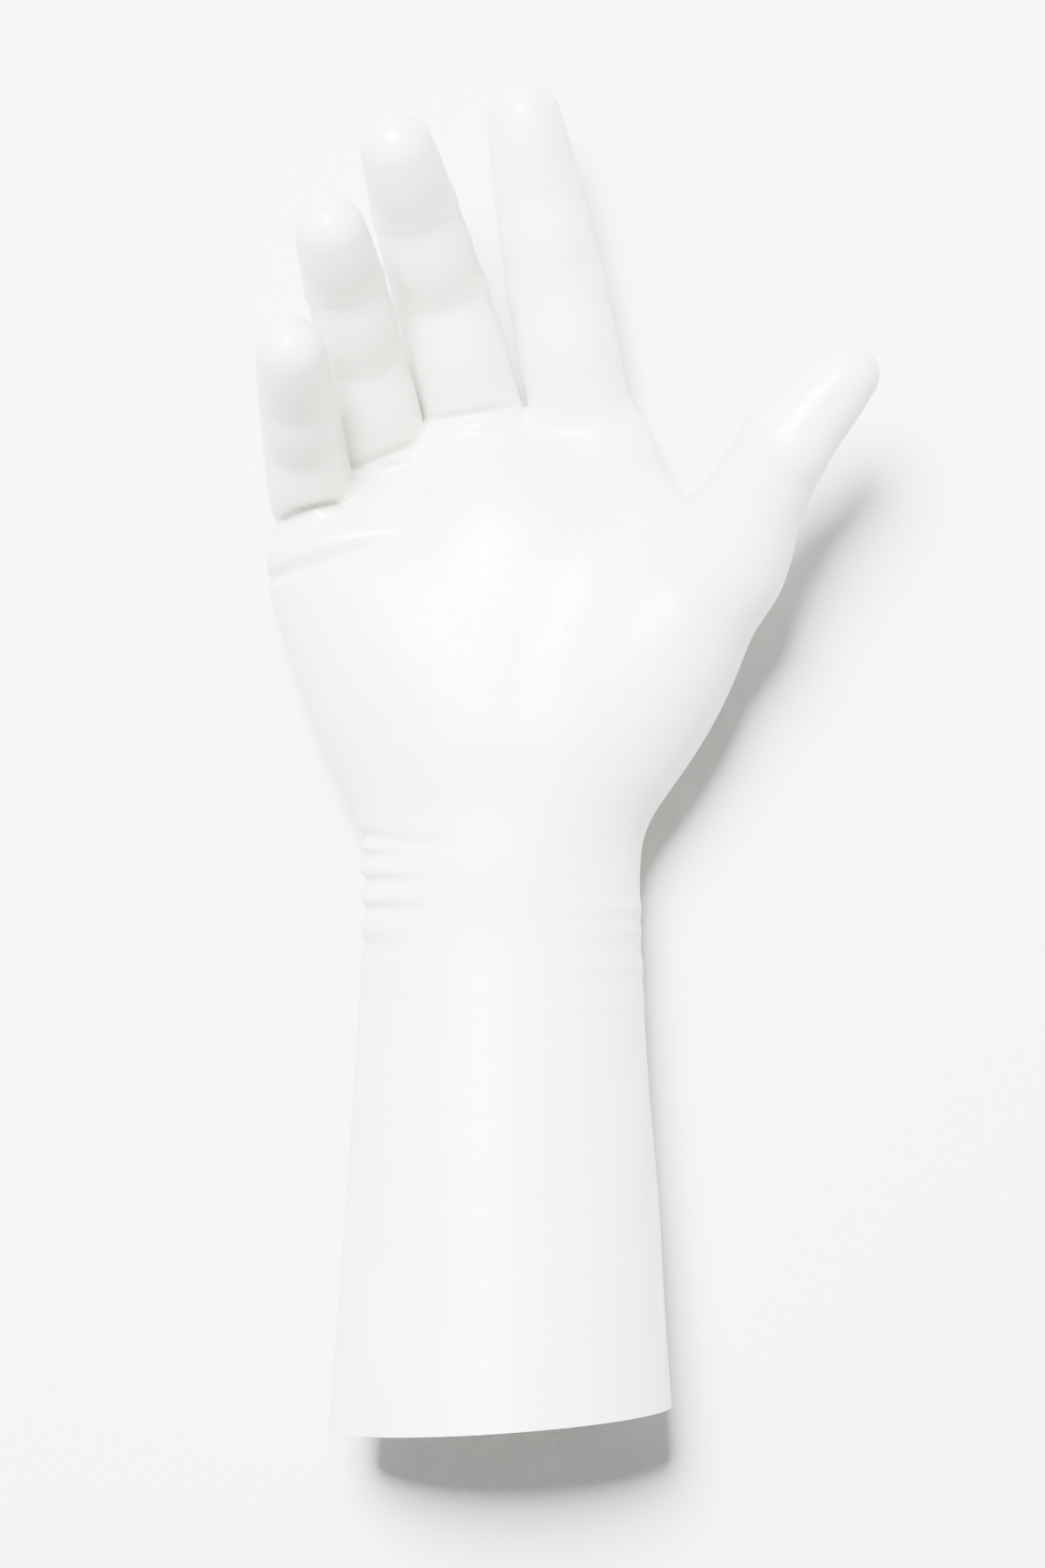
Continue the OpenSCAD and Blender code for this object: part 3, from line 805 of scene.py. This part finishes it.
LATEX_PALE = (0.61, 0.605, 0.565, 1)
LATEX_WARM = (0.565, 0.555, 0.49, 1)
# The glossiest and the dullest that the powder makes the film
GLOSSY, DULL = 0.30, 0.44
# Depths of the relief in metres
WAVE_DEPTH = 0.00016
GRAIN_DEPTH = 0.000022


def latex_material():
    """Thin powdered latex: warm white, satin, with faint clouds and a fine skin."""
    nodes = Nodes("latex")
    place = nodes.add("ShaderNodeTexCoord").outputs["Object"]
    # The film is a little thicker and warmer in cloudy patches
    clouds = nodes.noise(place, 26, detail=4, distortion=0.6)
    tint = nodes.spread(clouds, 0.32, 0.72, 0.0, 1.0)
    colour = nodes.add("ShaderNodeMix", {"data_type": "RGBA"})
    nodes.tree.links.new(tint, colour.inputs["Factor"])
    # A mix node has a set of sockets for each type. These are the colour ones.
    colour.inputs[6].default_value = LATEX_PALE
    colour.inputs[7].default_value = LATEX_WARM
    nodes.tree.links.new(colour.outputs[2], nodes.shader.inputs["Base Color"])
    # Powder makes the gloss uneven
    powder = nodes.noise(place, 420, detail=5, roughness=0.65)
    gloss = nodes.spread(powder, 0.3, 0.7, GLOSSY, DULL)
    nodes.tree.links.new(gloss, nodes.shader.inputs["Roughness"])
    # Slight waves where the film sits loosely, then the skin's fine grain
    waves = nodes.bump(nodes.noise(place, 80, distortion=0.4), WAVE_DEPTH)
    grain = nodes.bump(nodes.noise(place, 1500, detail=3), GRAIN_DEPTH, waves)
    nodes.tree.links.new(grain, nodes.shader.inputs["Normal"])
    uniform = {"IOR": 1.55, "Subsurface Weight": 0.12, "Subsurface Scale": 0.003,
               "Sheen Weight": 0.08, "Sheen Roughness": 0.5}
    for key, value in uniform.items():
        nodes.shader.inputs[key].default_value = value
    return nodes.material


def build_glove():
    """The glove's surface, divided into pieces. The cuff's and the palm's pieces ride with their
    bodies.
    """
    field, alone = glove_field()
    points, quads = surface_of(field)
    points = smoothed(points, quads)
    points = folded(points, quads, alone)
    bm, names, label = divided(points, quads, alone)
    points = np.array([v.co for v in bm.verts])
    normals = np.array([v.normal for v in bm.verts])
    faces = {name: [] for name in names}
    bm.verts.index_update()
    for face in bm.faces:
        faces[names[face[label]]].append([v.index for v in face.verts])
    bm.free()
    material = latex_material()
    spans = {zone.name: zone for zone in zones()}
    for name in names:
        piece = build_piece(f"{name}_film", faces[name], points, normals, material)
        zone = spans.get(name)
        # The cuff and the palm don't bend
        if zone is None or zone.a is None:
            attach(piece, name)
        else:
            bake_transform(piece)
        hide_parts(*replaced_nodes(name))


build_glove()


# ---------------------------------------------------------------- stage
# The stage is in metres
FLOOR_SIZE = 6
FLOOR_COLOUR = (0.58, 0.58, 0.58, 1)
FLOOR_ROUGHNESS = 0.9
KEY_PLACE, KEY_AIM = Vector((-0.55, 1.3, 2.6)), Vector((0, 0, 0.02))
KEY_SIZE = 1.2
KEY_WATTS = 1300
WORLD_STRENGTH = 0.6
# The camera looks straight down. Its lens is this many times as long as its sensor is high.
CAMERA_PLACE = (-0.01, -0.0065, 1.2)
SENSOR = 36
LENS_RATIO = 6169 / 1800


def build_floor():
    bpy.ops.mesh.primitive_plane_add(size=FLOOR_SIZE)
    plane = bpy.context.object
    plane.name = "floor"
    material = bpy.data.materials.new("floor")
    material.use_nodes = True
    shader = material.node_tree.nodes["Principled BSDF"]
    shader.inputs["Base Color"].default_value = FLOOR_COLOUR
    shader.inputs["Roughness"].default_value = FLOOR_ROUGHNESS
    plane.data.materials.append(material)


def build_key_light():
    data = bpy.data.lights.new("key", "AREA")
    data.shape = "DISK"
    data.size = KEY_SIZE
    data.energy = KEY_WATTS
    lamp = bpy.data.objects.new("key", data)
    lamp.location = KEY_PLACE
    lamp.rotation_mode = "QUATERNION"
    lamp.rotation_quaternion = (KEY_AIM - KEY_PLACE).to_track_quat("-Z", "Y")
    bpy.context.scene.collection.objects.link(lamp)


def build_world():
    world = bpy.data.worlds.new("studio")
    world.use_nodes = True
    background = world.node_tree.nodes["Background"]
    background.inputs["Color"].default_value = (1, 1, 1, 1)
    background.inputs["Strength"].default_value = WORLD_STRENGTH
    bpy.context.scene.world = world


def build_camera():
    data = bpy.data.cameras.new("camera")
    data.sensor_width = SENSOR
    data.lens = SENSOR * LENS_RATIO
    camera = bpy.data.objects.new("camera", data)
    camera.location = CAMERA_PLACE
    bpy.context.scene.collection.objects.link(camera)
    bpy.context.scene.camera = camera


build_floor()
build_key_light()
build_world()
build_camera()
